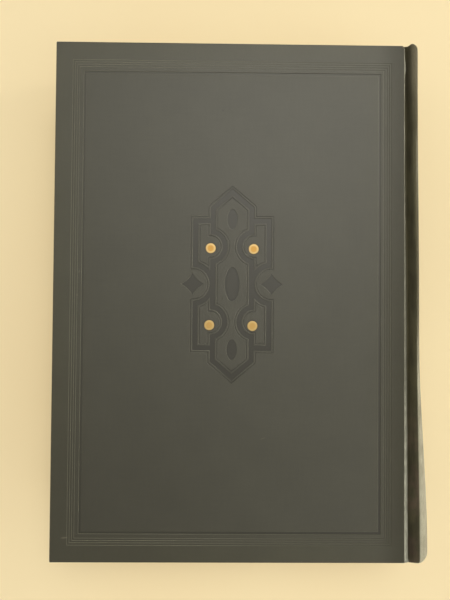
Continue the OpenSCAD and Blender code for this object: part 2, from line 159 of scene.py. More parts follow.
def page_block():
    """The leaves as one closed mesh, with a fold at the spine for every section."""
    rng = random.Random(cut_seed)
    leaf_count = section_count * rows_in_section
    section_cut = [rng.uniform(-1, 1) for _ in range(section_count + 1)]
    paths = [leaf_path(-1 + 2 * i / leaf_count) for i in range(leaf_count + 1)]
    along_count = len(paths[0])
    ids, points, uvs = {}, [], []

    def corner(i, j, k):
        if (i, j, k) in ids:
            return ids[i, j, k]
        x, z = paths[i][j]
        y = mix(-pages_up, pages_up, k / up_steps)
        waves = noise.noise((x * cut_waves, y * cut_waves, i * cut_change))
        uneven = section_cut[i // rows_in_section] + 2 * waves
        if k in (0, up_steps):
            y -= math.copysign(cut_play, y) * (1 + 0.5 * uneven)
        if j == 0:
            x += cut_play * (1 + uneven)
        if j == along_count - 1:
            in_fold = math.sin(math.pi * (i % rows_in_section) / rows_in_section)
            x -= fold_depth * (1 - in_fold) ** 2
        ids[i, j, k] = len(points)
        points.append((x, y, z))
        uvs.append((x + y, i / leaf_count))
        return ids[i, j, k]

    faces = []
    for i in range(leaf_count):
        for j in range(along_count - 1):
            for k in (0, up_steps):
                faces.append([corner(i, j, k), corner(i + 1, j, k),
                              corner(i + 1, j + 1, k), corner(i, j + 1, k)])
        for k in range(up_steps):
            for j in (0, along_count - 1):
                faces.append([corner(i, j, k), corner(i + 1, j, k),
                              corner(i + 1, j, k + 1), corner(i, j, k + 1)])
    for i in (0, leaf_count):
        for j in range(along_count - 1):
            for k in range(up_steps):
                faces.append([corner(i, j, k), corner(i, j + 1, k),
                              corner(i, j + 1, k + 1), corner(i, j, k + 1)])
    return make_piece("page_block", points, faces, uvs, smooth_angle=40)


def feed(owner, socket, value):
    """Links or sets a socket. The owner is a material, the world or a tree of nodes."""
    if isinstance(value, bpy.types.NodeSocket):
        getattr(owner, "node_tree", owner).links.new(value, socket)
    else:
        socket.default_value = value


def add(owner, kind, inputs, **settings):
    """Adds a node to the owner, sets it up, and fills its inputs."""
    node = getattr(owner, "node_tree", owner).nodes.new(kind)
    for key, value in settings.items():
        setattr(node, key, value)
    for key, value in inputs.items():
        feed(owner, node.inputs[key], value)
    return node


def calc(owner, operation, *values):
    return add(owner, "ShaderNodeMath", dict(enumerate(values)), operation=operation).outputs[0]


def times(owner, a, b):
    return calc(owner, "MULTIPLY", a, b)


def plus(owner, a, b):
    return calc(owner, "ADD", a, b)


def xyz(owner, vector):
    return add(owner, "ShaderNodeSeparateXYZ", {0: vector}).outputs


def spread(material, value, low, high, to_low=0.0, to_high=1.0):
    """Turns the run of a value from low to high smoothly into one from to_low to to_high."""
    return add(material, "ShaderNodeMapRange",
               {0: value, 1: low, 2: high, 3: to_low, 4: to_high},
               interpolation_type="SMOOTHSTEP").outputs[0]


def mix_colour(material, factor, a, b, blend="MIX"):
    return add(material, "ShaderNodeMix", {0: factor, 6: a, 7: b},
               data_type="RGBA", blend_type=blend).outputs[2]


def place(material, socket="Object"):
    return add(material, "ShaderNodeTexCoord", {}).outputs[socket]


def stretch(material, vector, scale):
    return add(material, "ShaderNodeMapping", {"Vector": vector, "Scale": scale}).outputs[0]


def grain(material, vector, scale, detail=2.0, roughness=0.5):
    return add(material, "ShaderNodeTexNoise",
               {"Vector": vector, "Scale": scale, "Detail": detail, "Roughness": roughness}).outputs[0]


def new_material(name, roughness, colour=(0.5, 0.5, 0.5, 1)):
    material = bpy.data.materials.new(name)
    material.use_nodes = True
    shader = material.node_tree.nodes["Principled BSDF"]
    shader.inputs["Roughness"].default_value = roughness
    shader.inputs["Base Color"].default_value = colour
    return material


def surface(material, colour=None, height=None, depth=0.0, values=()):
    """Links the colour and the relief to the shader and sets its plain values."""
    shader = material.node_tree.nodes["Principled BSDF"]
    if colour is not None:
        feed(material, shader.inputs["Base Color"], colour)
    if height is not None:
        bump = add(material, "ShaderNodeBump", {"Height": height, "Distance": depth, "Strength": 1.0})
        feed(material, shader.inputs["Normal"], bump.outputs[0])
    for socket, value in dict(values).items():
        feed(material, shader.inputs[socket], value)
    return material


def leaf_edges():
    """Cut edges of the leaves: one fine line a leaf, warmer in patches."""
    material = new_material("leaf_edges", 0.85)
    across = stretch(material, place(material, "UV"), (25, 330, 1))
    lines = grain(material, across, 1.0, 3.0, 0.7)
    tone = grain(material, stretch(material, place(material, "UV"), (8, 22, 1)), 1.0)
    colour = mix_colour(material, spread(material, lines, 0.35, 0.65), leaf_shadow, leaf_light)
    colour = mix_colour(material, spread(material, tone, 0.35, 0.7, 0, 0.35), colour, leaf_toned)
    return surface(material, colour, lines, 0.12 * MM)


pages = page_block()
pages.data.materials.append(leaf_edges())
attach(pages, "text_block")
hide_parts("text_block")


# Mull and lining
# Open starched gauze is glued over the rounded folds and a strip of brown paper over that.
# Both end short of the bands, and hold the shape that the backing gave the spine.
gauze_gap, gauze_thread = (0.3, 0.24, 0.15, 1), (0.66, 0.61, 0.5, 1)
lining_dark, lining_light = (0.3, 0.2, 0.11, 1), (0.42, 0.3, 0.18, 1)


def dress(node, material):
    """Puts a material on all slots of a CAD node."""
    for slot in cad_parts[node].material_slots:
        slot.material = material


def gauze():
    material = new_material("starched_gauze", 0.9)
    threads = stretch(material, place(material), (2200, 1500, 1500))
    parts = xyz(material, threads)
    ridges = calc(material, "MAXIMUM", *(calc(material, "SINE", part) for part in parts[1:]))
    colour = mix_colour(material, spread(material, ridges, 0.1, 0.8), gauze_gap, gauze_thread)
    return surface(material, colour, ridges, 0.1 * MM)


def kraft():
    material = new_material("lining_paper", 0.8)
    fibres = grain(material, stretch(material, place(material), (900, 160, 900)), 1.0, 4.0, 0.6)
    colour = mix_colour(material, spread(material, fibres, 0.3, 0.7), lining_dark, lining_light)
    return surface(material, colour, fibres, 0.04 * MM)


dress("spine_mull", gauze())
dress("spine_lining", kraft())


# Head band and tail band
# A cord bead on a cotton tape, glued to the ends of the spine and wound with thread in two
# colours, so that it fills the gap between the pages and the top of the case.
band_bead_r = 1.0 * MM
band_tape = 0.3 * MM
thread_r = 0.16 * MM
stitch_pitch = 0.3 * MM
stitches_in_stripe = 5
bead_sides = 14
thread_sides = 6
bead_steps = 40
end_turn = 0.012
cream_silk, olive_silk = (0.62, 0.53, 0.36, 1), (0.13, 0.115, 0.07, 1)
tape_dark, tape_light = (0.5, 0.44, 0.32, 1), (0.68, 0.62, 0.48, 1)
band_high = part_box("head_band")[1]


def wound_thread_tree(plain, striped):
    """Rings of thread along a path, in stripes of two materials."""
    tree = bpy.data.node_groups.new("wound_thread", "GeometryNodeTree")
    for name, kind in (("Path", "Geometry"), ("Bead radius", "Float"), ("Thread radius", "Float"),
                       ("Pitch", "Float"), ("Stripe", "Int")):
        tree.interface.new_socket(name=name, in_out="INPUT", socket_type="NodeSocket" + kind)
    tree.interface.new_socket(name="Thread", in_out="OUTPUT", socket_type="NodeSocketGeometry")
    given = add(tree, "NodeGroupInput", {}).outputs
    path = add(tree, "GeometryNodeMeshToCurve", {0: given["Path"]})
    posts = add(tree, "GeometryNodeCurveToPoints",
                {"Curve": path.outputs[0], "Length": given["Pitch"]}, mode="LENGTH")
    ring, strand = (add(tree, "GeometryNodeCurvePrimitiveCircle",
                        {"Resolution": sides, "Radius": given[key]}).outputs["Curve"]
                    for sides, key in ((bead_sides, "Bead radius"), (thread_sides, "Thread radius")))
    loop = add(tree, "GeometryNodeCurveToMesh", {"Curve": ring, "Profile Curve": strand})
    wound = add(tree, "GeometryNodeInstanceOnPoints",
                {"Points": posts.outputs["Points"], "Instance": loop.outputs[0],
                 "Rotation": posts.outputs["Rotation"]})
    count = add(tree, "GeometryNodeInputIndex", {}).outputs[0]
    stripe = calc(tree, "FLOOR", calc(tree, "DIVIDE", count, given["Stripe"]))
    stored = add(tree, "GeometryNodeStoreNamedAttribute",
                 {"Geometry": wound.outputs[0], "Name": "stripe",
                  "Value": calc(tree, "MODULO", stripe, 2.0)}, data_type="FLOAT", domain="INSTANCE")
    real = add(tree, "GeometryNodeRealizeInstances", {0: stored.outputs[0]})
    first = add(tree, "GeometryNodeSetMaterial", {"Geometry": real.outputs[0], "Material": plain})
    named = add(tree, "GeometryNodeInputNamedAttribute", {"Name": "stripe"}, data_type="FLOAT")
    chosen = add(tree, "FunctionNodeCompare", {0: named.outputs[0], 1: 0.5}, data_type="FLOAT",
                 operation="GREATER_THAN")
    second = add(tree, "GeometryNodeSetMaterial",
                 {"Geometry": first.outputs[0], "Selection": chosen.outputs[0], "Material": striped})
    add(tree, "NodeGroupOutput", {0: second.outputs[0]})
    return tree


def grown(name, path, tree, sizes):
    """Plain mesh object that the tree grows on a path of points, with its named sizes set."""
    mesh = bpy.data.meshes.new(name)
    mesh.from_pydata(path, [(i, i + 1) for i in range(len(path) - 1)], [])
    piece = put_in_scene(name, mesh)
    grower = piece.modifiers.new("grown", "NODES")
    grower.node_group = tree
    for item in tree.interface.items_tree:
        if item.in_out == "INPUT" and item.name in sizes:
            grower[item.identifier] = sizes[item.name]
    depsgraph = bpy.context.evaluated_depsgraph_get()
    solid = bpy.data.meshes.new_from_object(piece.evaluated_get(depsgraph))
    piece.modifiers.clear()
    piece.data = solid
    return piece


def silk(name, colour):
    material = new_material(name, 0.55, colour)
    fibres = grain(material, place(material), 5000, 2.0)
    shade = tuple(0.6 * c for c in colour[:3]) + (1,)
    tone = mix_colour(material, spread(material, fibres, 0.35, 0.65), shade, colour)
    return surface(material, tone, fibres, 0.03 * MM, {"Sheen Weight": 0.4})


def cotton_tape():
    material = new_material("band_tape", 0.9)
    threads = grain(material, stretch(material, place(material), (1500, 3000, 3000)), 1.0)
    return surface(material, mix_colour(material, threads, tape_dark, tape_light), threads, 0.08 * MM)


thread_tree = wound_thread_tree(silk("cream_thread", cream_silk), silk("olive_thread", olive_silk))
for side, name in ((1, "head_band"), (-1, "tail_band")):
    dress(name, cotton_tape())
    bead_y = side * (pages_up + band_bead_r / 3)
    arc_at = backing_r + band_tape - band_bead_r
    reach = math.asin((band_high.z - mid_z) / (backing_r + band_tape)) - end_turn
    bead_path = []
    for i in range(bead_steps + 1):
        turn = mix(-reach, reach, i / bead_steps)
        bead_path.append((backing_x + arc_at * math.cos(turn), bead_y, mid_z + arc_at * math.sin(turn)))
    stitches = grown(name + "_thread", bead_path, thread_tree,
                     {"Bead radius": band_bead_r, "Thread radius": thread_r,
                      "Pitch": stitch_pitch, "Stripe": stitches_in_stripe})
    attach(stitches, "text_block")


# Endpapers
# A folded leaf of strong cream paper at each side. One half lies on the pages; the other runs
# from the fold at the shoulder's tip down the joint and is pasted on the inside of the board.
paste_low, paste_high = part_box("back_pastedown")
board_low, board_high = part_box("back_cover_cloth")
edge_x = board_high.x
board_up = board_high.y
book_z = board_high.z
leaf_t = 0.2 * MM
turn_in = 15 * MM
turn_in_t = 0.4 * MM
step_w = 1.1 * MM
step_rows = (-0.15, 0.15, 0.35, 0.5, 0.65, 0.85, 1.15)
joint_leaf_t = 0.08 * MM
joint_rows = (0.12, 0.24, 0.38, 0.52, 0.68, 0.84, 1)
fold_rows = 6
fold_end_turn = 0.03
leaf_play = 0.01 * MM
across_count, up_count = 24, 20
paper_dark = (0.7, 0.62, 0.45, 1)
paper_light = (0.76, 0.69, 0.52, 1)
paper_toned = (0.66, 0.55, 0.36, 1)


def endpaper():
    material = new_material("endpaper", 0.8)
    where = place(material)
    fibres = grain(material, where, 1400, 4.0, 0.6)
    tone = grain(material, where, 22, 3.0)
    colour = mix_colour(material, spread(material, fibres, 0.3, 0.7), paper_dark, paper_light)
    colour = mix_colour(material, spread(material, tone, 0.5, 0.75, 0, 0.4), colour, paper_toned)
    return surface(material, colour, fibres, 0.03 * MM)


def sunk(x, y):
    """How far the pastedown sinks at a point, inside the turned-in cloth: 0 to 1."""
    from_fore = ease((x - (turn_in - edge_x)) / step_w)
    from_joint = ease((edge_x - turn_in_t - x) / step_w)
    from_ends = ease((board_up - turn_in - abs(y)) / step_w)
    return from_fore * from_joint * from_ends


def split(low, high, near, count):
    """Values from low to high: a coarse even row, and a fine one round each value in near."""
    values = {mix(low, high, i / count) for i in range(count + 1)}
    for middle in near:
        values.update(middle + row * step_w for row in step_rows)
    return sorted(v for v in values if low <= v <= high)


def two_sided(rows, back_rows):
    """Points and faces of a closed sheet from its two faces, each a list of rows of points."""
    n, m = len(rows[0]), len(rows)
    points = [p for row in rows for p in row] + [p for row in back_rows for p in row]
    rim = n * m
    faces = []
    for j in range(m - 1):
        for i in range(n - 1):
            k = j * n + i
            faces.append([k, k + 1, k + n + 1, k + n])
            faces.append([rim + k, rim + k + n, rim + k + n + 1, rim + k + 1])
    for i in range(n - 1):
        for k in (i, (m - 1) * n + i):
            faces.append([k, k + 1, rim + k + 1, rim + k])
    for j in range(m - 1):
        for k in (j * n, j * n + n - 1):
            faces.append([k, k + n, rim + k + n, rim + k])
    return points, faces


def pastedown_leaf(name, flip):
    """Pasted half of an endpaper. flip turns a height in the back half into one in the front."""
    low_z = paste_low.z
    xs = split(paste_low.x, edge_x, [turn_in - edge_x, edge_x - turn_in_t - step_w], across_count)
    ys = split(paste_low.y, paste_high.y,
               [turn_in - board_up - step_w, board_up - turn_in - step_w], up_count)
    ys = sorted(set(ys) | {-y for y in ys})
    fold_turn = math.asin((tip_x - root_x) / fillet_r) - fold_end_turn
    inner_r = fillet_r - leaf_t - leaf_play
    rows, back_rows = [], []
    for y in ys:
        row, back = [], []
        for x in xs:
            z = low_z + turn_in_t * sunk(x, y)
            row.append((x, y, flip(z)))
            back.append((x, y, flip(z + leaf_t)))
        joint_y = math.copysign(min(abs(y), pages_up), y)
        for share in joint_rows:
            x = mix(edge_x, root_x, share)
            row.append((x, joint_y, flip(low_z + leaf_play)))
            back.append((x, joint_y, flip(low_z + leaf_play + joint_leaf_t)))
        for step in range(1, fold_rows + 1):
            turn = fold_turn * step / fold_rows
            for side, r in ((row, inner_r), (back, inner_r - joint_leaf_t)):
                x = root_x + r * math.sin(turn)
                z = mid_z + pages_half + fillet_r - r * math.cos(turn)
                side.append((x, joint_y, flip(z)))
        rows.append(row)
        back_rows.append(back)
    points, faces = two_sided(rows, back_rows)
    return make_piece(name, points, faces, smooth_angle=50)


paper = endpaper()
covers = (("back", lambda z: z), ("front", lambda z: 2 * mid_z - z))
for side, flip in covers:
    dress(side + "_flyleaf", paper)
    leaf = pastedown_leaf(side + "_pastedown_leaf", flip)
    leaf.data.materials.append(paper)
    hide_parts(side + "_pastedown")
    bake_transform(leaf, "text_block", side + "_cover",
             start=(tip_x, 0, flip(paste_low.z)), end=(edge_x + 0.4 * MM, 0, flip(paste_low.z)))


# Boards and the inlay card
# Two greyboards stiffen the covers, and a strip of card the spine of the case. All three are
# covered on the outside by the cloth, so only the card shows, from the head and the tail.
board_dark, board_light = (0.2, 0.17, 0.13, 1), (0.33, 0.29, 0.23, 1)


def greyboard():
    material = new_material("greyboard", 0.9)
    flecks = grain(material, place(material), 900, 5.0, 0.7)
    colour = mix_colour(material, spread(material, flecks, 0.3, 0.7), board_dark, board_light)
    return surface(material, colour, flecks, 0.06 * MM)


board_card = greyboard()
for node in ("back_board", "front_board", "spine_inlay"):
    dress(node, board_card)


# Cloth on the covers
# Dark olive grey book cloth, a close plain weave that is filled and calendered, so it shines a
# little. It was stamped cold over the board: straps and lines lie pressed and smoothed in it.
thread_pitch = 0.38 * MM
tool_depth = 0.25 * MM
fine_depth = 0.12 * MM
outer_depth = 0.2 * MM
outer_line = 5.9 * MM
border_free = 13.4 * MM
border_spine = 11 * MM
border_head = 14 * MM
border_free_edge = 4 * MM
lip_r = 0.2 * MM
lip_steps = 3
cloth_colour = (0.027, 0.0265, 0.018, 1)
cloth_light = (0.0405, 0.04, 0.028, 1)
pressed_colour = (0.0105, 0.0102, 0.007, 1)
# Painted highlight on the rims of the pressed lines, strongest where they face +x.
rim_highlight_colour = (0.2, 0.195, 0.15, 1)
border_pressed = 0.35
corner_pressed = 1
rubbed_colour = (0.16, 0.14, 0.1, 1)
# Painted reflection of the cream table along the fore-edge of a cover.
fore_edge_reflection = (0.085, 0.06, 0.032, 1)
# Painted shade along the head and tail edges of a cover and in a ring round each gilt dot.
edge_and_ring_shade = (0.018, 0.012, 0.005, 1)
tanned = (1.02, 1.0, 0.8, 1)
tanned_w = 22 * MM
# Painted shade that darkens a cover towards its tail corner at the fore-edge.
corner_shade_run = (15 * MM, 125 * MM)
corner_shade_most = 0.6
darkened = (0.6, 0.58, 0.5, 1)
beside_run = (1 * MM, 14 * MM)
beside_most = 0.75
fore_edge_reflection_run = (0.9 * MM, 1.7 * MM)
edge_shade_run = (0.45 * MM, 1.1 * MM)
speck_colour = (0.02, 0.018, 0.014, 1)
cloth_rough = 0.4
cover_shine = 0.71
beside_shine = 0.5
dot_r = 2.4 * MM
dot_half_pitch = (10.25 * MM, 18.3 * MM)
dot_turn = math.radians(-0.7)
# Scuffs: x, y, half length and half width in millimetres, turn in degrees, and strength.
worn_marks = (
    (-71.1, 13.1, 1.2, 0.35, 80, 0.5),
    (-71.9, 2.2, 1.0, 0.4, 70, 0.45),
    (-76.5, -111.8, 2.2, 0.5, 5, 0.5),
    (16.5, -65.1, 2.0, 0.2, 20, 0.35),
)
dark_specks = ((-3.5, 90.9, 0.55), (75.3, -2.1, 0.45))


def calc_vector(material, operation, *vectors):
    node = add(material, "ShaderNodeVectorMath", dict(enumerate(vectors)), operation=operation)
    return node.outputs["Value" if operation in ("LENGTH", "DISTANCE") else "Vector"]


def scaled(material, vector, by):
    return add(material, "ShaderNodeVectorMath", {0: vector, "Scale": by}, operation="SCALE").outputs[0]


def mark_of(material, key):
    """What a mesh has in the mark of that name, from 0 to 1."""
    return add(material, "ShaderNodeAttribute", {}, attribute_name=key).outputs["Fac"]


def weave(material, vector):
    """Relief of a plain weave from 0 to 1, with threads that wander a little."""
    wander = add(material, "ShaderNodeTexNoise", {"Vector": vector, "Scale": 260.0, "Detail": 3.0})
    shift = calc_vector(material, "SUBTRACT", wander.outputs["Color"], (0.5, 0.5, 0.5))
    moved = calc_vector(material, "ADD", vector, scaled(material, shift, 0.35 * MM))
    counted = scaled(material, moved, 1 / thread_pitch)
    over = add(material, "ShaderNodeTexChecker", {"Vector": counted, "Scale": 1.0}).outputs["Fac"]
    parts = xyz(material, counted)
    turns = (times(material, part, math.pi) for part in parts[:2])
    warp, weft = (calc(material, "ABSOLUTE", calc(material, "SINE", turn)) for turn in turns)
    return add(material, "ShaderNodeMix", {0: over, 2: warp, 3: weft}, data_type="FLOAT").outputs[0]


def book_cloth(name, shine, dressing):
    """Book cloth. dressing(material, colour) returns the colour with its wear and soiling, and with
    painted shade and highlights.
    """
    material = new_material(name, 0.5)
    uv = place(material, "UV")
    threads = weave(material, uv)
    slubs = grain(material, stretch(material, uv, (900, 90, 1)), 1.0, 3.0)
    cross_slubs = grain(material, stretch(material, uv, (90, 900, 1)), 1.0, 3.0)
    clouds = grain(material, uv, 45, 3.0)
    pressed, rim = (mark_of(material, key) for key in ("pressed", "rim"))
    colour = mix_colour(material, spread(material, threads, 0.1, 0.9), cloth_colour, cloth_light)
    tone = plus(material, slubs, cross_slubs)
    tone = plus(material, times(material, tone, 0.2), times(material, clouds, 0.35))
    tone = spread(material, tone, 0.2, 0.55, 0.86, 1.12)
    colour = scaled(material, colour, tone)
    colour = mix_colour(material, times(material, pressed, 0.9), colour, pressed_colour)
    # The rim mark lays a painted highlight on the rims of the pressed lines.
    colour = mix_colour(material, rim, colour, rim_highlight_colour)
    colour = dressing(material, colour)
    open_weave = calc(material, "SUBTRACT", 1.0, times(material, pressed, 0.75))
    relief = times(material, threads, open_weave)
    waves = times(material, grain(material, uv, 60, 2.0), 3.0)
    relief = plus(material, relief, waves)
    rough = plus(material, cloth_rough, times(material, pressed, 0.05))
    return surface(material, colour, relief, 0.03 * MM,
                   {"Roughness": rough, "Specular IOR Level": shine, "Sheen Weight": 0.1,
                    "Sheen Roughness": 0.4})


def from_dots(material, where):
    """Distance from the nearest gilt dot's centre, in radii of a dot."""
    low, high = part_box("gilt_dots")
    local = add(material, "ShaderNodeMapping",
                {"Vector": where, "Location": (low + high) / 2, "Rotation": (0, 0, dot_turn)},
                vector_type="TEXTURE").outputs[0]
    parts = xyz(material, local)
    aside = [calc(material, "SUBTRACT", calc(material, "ABSOLUTE", part), half)
             for part, half in zip(parts, dot_half_pitch)]
    squares = [times(material, a, a) for a in aside]
    away = calc(material, "SQRT", plus(material, *squares))
    return calc(material, "DIVIDE", away, dot_r)


def from_spot(material, where, x, y, half_l, half_w, turn=0):
    """Distance from a spot on a cover: 1 at the ends of its half length and half width."""
    local = add(material, "ShaderNodeMapping",
                {"Vector": where, "Location": (x * MM, y * MM, 0),
                 "Rotation": (0, 0, math.radians(turn)),
                 "Scale": (half_l * MM, half_w * MM, 1)}, vector_type="TEXTURE").outputs[0]
    return calc_vector(material, "LENGTH", calc_vector(material, "MULTIPLY", local, (1, 1, 0)))


def rub_and_marks(material, colour):
    """Toned edges, painted shade along the head and tail edges, towards the tail corner at the
    fore-edge and round the gilt dots, a painted reflection of the table along the fore-edge, light
    scuffs and dark specks of a cover.
    """
    where = place(material)
    parts = xyz(material, where)
    from_side = plus(material, parts[0], edge_x)
    from_ends = calc(material, "SUBTRACT", board_up, calc(material, "ABSOLUTE", parts[1]))
    from_spine = calc(material, "SUBTRACT", edge_x, parts[0])
    nearest = calc(material, "MINIMUM", calc(material, "MINIMUM", from_side, from_spine), from_ends)
    toning = spread(material, nearest, 0.0, tanned_w, 1, 0)
    colour = mix_colour(material, toning, colour, tanned, "MULTIPLY")
    beside = spread(material, from_spine, *beside_run, beside_most, 0)
    colour = mix_colour(material, beside, colour, darkened, "MULTIPLY")
    # Painted shade, darker towards the tail corner at the fore-edge.
    corner = calc_vector(material, "DISTANCE", where, (-edge_x, -board_up, book_z))
    corner_shade = spread(material, corner, *corner_shade_run, corner_shade_most, 0)
    colour = mix_colour(material, corner_shade, colour, darkened, "MULTIPLY")
    # Painted reflection of the cream table in a band along the fore-edge.
    ragged = times(material, grain(material, where, 500, 3.0), 1.6 * MM)
    reflected = spread(material, plus(material, from_side, ragged), *fore_edge_reflection_run, 0.8, 0)
    colour = mix_colour(material, reflected, colour, fore_edge_reflection)
    # Painted shade in a thin line where the head and tail edges round over.
    frayed = times(material, grain(material, where, 300, 3.0), 0.4 * MM)
    edge_shade = spread(material, plus(material, from_ends, frayed), *edge_shade_run, 0.95, 0)
    colour = mix_colour(material, edge_shade, colour, edge_and_ring_shade)
    # Painted shade in a ring round the recess of each gilt dot.
    ring = spread(material, from_dots(material, where), 1.0, 1.35, 0.75, 0)
    colour = mix_colour(material, ring, colour, edge_and_ring_shade)
    broken = times(material, grain(material, where, 900, 3.0), 0.8)
    for x, y, half_l, half_w, turn, strength in worn_marks:
        away = plus(material, from_spot(material, where, x, y, half_l, half_w, turn), broken)
        colour = mix_colour(material, spread(material, away, 0.7, 1.3, strength, 0), colour,
                            rubbed_colour)
    for x, y, r in dark_specks:
        away = from_spot(material, where, x, y, r, r)
        colour = mix_colour(material, spread(material, away, 0.7, 1.2, 0.8, 0), colour, speck_colour)
    return colour


def off_edges(point):
    return abs(point.x) < edge_x - border_free_edge and abs(point.y) < board_up - border_free_edge


def raise_fine_lines(bm):
    """Makes the fine lines of the border shallower than the bold one inside them."""
    bold_low = Vector((board_low.x + border_free, board_low.y + border_free))
    bold_high = Vector((board_high.x - border_spine, board_high.y - border_head))
    for vert in bm.verts:
        x, y, z = vert.co
        outside = not (bold_low.x < x < bold_high.x and bold_low.y < y < bold_high.y)
        if outside and off_edges(vert.co) and book_z - 2 * tool_depth < z < book_z - tool_depth / 2:
            beyond = max(bold_low.x - x, x - bold_high.x, bold_low.y - y, y - bold_high.y)
            vert.co.z = book_z - (outer_depth if beyond > outer_line else fine_depth)


def round_lips(bm):
    """Rounds the cloth over the edges of all that is pressed into it."""
    def on_face(vert):
        return off_edges(vert.co) and abs(vert.co.z - book_z) < 1e-6

    rims = [e for e in bm.edges if all(on_face(v) for v in e.verts)
            and len(e.link_faces) == 2 and e.calc_face_angle(0) > math.radians(40)]
    if rims:
        bmesh.ops.bevel(bm, geom=rims, offset=lip_r, offset_type="OFFSET", segments=lip_steps,
                        profile=0.5, affect="EDGES", clamp_overlap=True)


def mark_tooling(bm):
    """Marks how far each point is pressed in, and a painted highlight on the rims of the lines,
    strongest where they face +x. The border is darkest at the corner by the tail of the spine."""
    pressed = bm.verts.layers.float.new("pressed")
    rim = bm.verts.layers.float.new("rim")
    bm.normal_update()
    for vert in bm.verts:
        x, y, z = vert.co
        if off_edges(vert.co) and z > book_z - 2 * tool_depth:
            deep = (book_z - z) / tool_depth
            in_border = abs(x) > edge_x / 2 or abs(y) > board_up / 2
            amount = corner_pressed if x > 0 and y < 0 else border_pressed
            vert[pressed] = amount * deep if in_border else min(1, 1.6 * deep)
            on_floor = any(face.normal.z > 0.99 for face in vert.link_faces)
            if 1e-6 < book_z - z < 0.6 * tool_depth and not on_floor:
                vert[rim] = 0.9 * ease(vert.normal.x / 0.5) + 0.4 * ease(-vert.normal.x / 0.5)


def cover_cloth(name, node):
    """Copy of a cover's cloth with the edges of its pressed lines rounded over."""
    bm = bmesh.new()
    bm.from_mesh(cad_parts[node].data)
    bmesh.ops.remove_doubles(bm, verts=bm.verts, dist=1e-6)
    bmesh.ops.dissolve_limit(bm, angle_limit=math.radians(1), verts=bm.verts, edges=bm.edges)
    raise_fine_lines(bm)
    round_lips(bm)
    mark_tooling(bm)
    layer = bm.loops.layers.uv.new("UVMap")
    for face in bm.faces:
        nx, ny, nz = (abs(c) for c in face.normal)
        for loop in face.loops:
            x, y, z = loop.vert.co
            loop[layer].uv = (x, y) if nz >= max(nx, ny) else (z, y) if nx > ny else (x, z)
        face.smooth = True
    mesh = bpy.data.meshes.new(name)
    bm.to_mesh(mesh)
    bm.free()
    mesh.set_sharp_from_angle(angle=math.radians(35))
    piece = put_in_scene(name, mesh)
    piece.modifiers.new("flat_faces", "WEIGHTED_NORMAL").keep_sharp = True
    return piece


cover_material = book_cloth("cover_cloth", cover_shine, rub_and_marks)
across = xyz(cover_material, place(cover_material))[0]
surface(cover_material, values={
    "Specular IOR Level": spread(cover_material, across, edge_x - beside_run[1],
                                 edge_x - beside_run[0], cover_shine, beside_shine)})
for side, flip in covers:
    cloth = cover_cloth(side + "_cover_book_cloth", side + "_cover_cloth")
    cloth.data.materials.append(cover_material)
    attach(cloth, side + "_cover")
    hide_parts(side + "_cover_cloth")


# Cloth on the spine and the joints
# The same cloth goes on over the edge of the board, down into the French groove, up over the
# ridge and round the hollow back. The groove holds soiling with painted shade, and the back is
# sunned and made paler still as a painted highlight. The cloth over the board's edge carries a
# painted highlight, and towards the head the joint has browning and a painted sheen.
# This section's lengths are in millimetres, and so are u, v and y in its functions.
cloth_t = 0.4
card_t = 0.6
mm_mid = mid_z / MM
groove_depth = 3.0
groove_head, groove_low = 1.7, 3.2
groove_lip = 1.0
lip_run = 2.4
ridge_drop = 0.3
ridge_head, ridge_short = 3.9, 0.3
crest_head, crest_tail = 6.3, 7.9
round_head, round_tail = 5.5, 9.7
head_over = 1.1
cap_head, cap_tail = 1.4, 1.2
crest_arc = 2.4
lift_len = 12.0
tail_sag = 0.5
strip_head, strip_tail = 0.45, 2.3
strip_slope = 0.7
board_edge_r = 0.8
up_half = board_up / MM
head_y = up_half + head_over
tail_y = -up_half
flare_low, flare_high = (0, -up_half), (105, 0)
lower_run = (head_y, -20)
slow_flare = 0.17
wide_run = (90, -110)
wide_spot, wide_spot_half = 113, 5
wide_end = (-105, -107)
edge_highlight_low, edge_highlight_high = (-10, -100), (40, 110)
dirt_and_shade_run = (109, 93)
fade_and_highlight_run = (0, -45)
fade_and_highlight_spot, fade_and_highlight_spot_half = 66, 26
even_run = (60, -60)
end_rounding = (0.2, 0.06)
end_rows = (0, 0.06, 0.15, 0.3, 0.5, 0.75, 1.05, 1.4, 1.8, 2.4, 3.2, 4.5)
middle_rows, middle_from = 74, 6
fold_in_rows = (0.45, 1, 1.8, 3, 6, 10, 15)
start_points = ((-1.9, -0.08), (-1.35, -0.004), (-0.6, 0.0), (-0.2, 0.0))
edge_shares = (0.0, 0.06, 0.16, 0.3, 0.5, 0.7, 0.85, 0.95)
drop_steps, ramp_steps, crest_steps, round_steps = 8, 18, 8, 18
drop_start = len(start_points) + len(edge_shares)
ramp_start = drop_start + drop_steps
card_start = ramp_start + ramp_steps + 1
mark_names = ("grime_and_shade", "faded_and_highlight", "edge_highlight", "joint")
spine_shine = 0.08
spine_rough = 0.65
# Soiling and painted shade in the groove and on the ridge.
dirt_and_shade_colour = (0.06, 0.054, 0.03, 1)
earth_colour = (0.078, 0.058, 0.04, 1)
# Sunned cloth on the back of the spine, made paler still as a painted highlight.
faded_highlight_colour = (0.31, 0.297, 0.222, 1)
half_faded_highlight = (0.19, 0.178, 0.125, 1)
even_head, even_tail = 0.32, 0.6
low_soil_and_shade, even_soil = 0.5, 0.15
# Painted highlight on the cloth over the board's edge, where it turns to the light at the spine side.
edge_highlight_colour = (0.33, 0.325, 0.26, 1)
# Browning and a painted sheen that make the joint cloth paler towards the head of the spine.
browned_and_sheen = (3.0, 2.65, 2.5, 1)


def along(y, start, end):
    """How far y has gone from start to end, 0 to 1."""
    return ease((y - start) / (end - start))


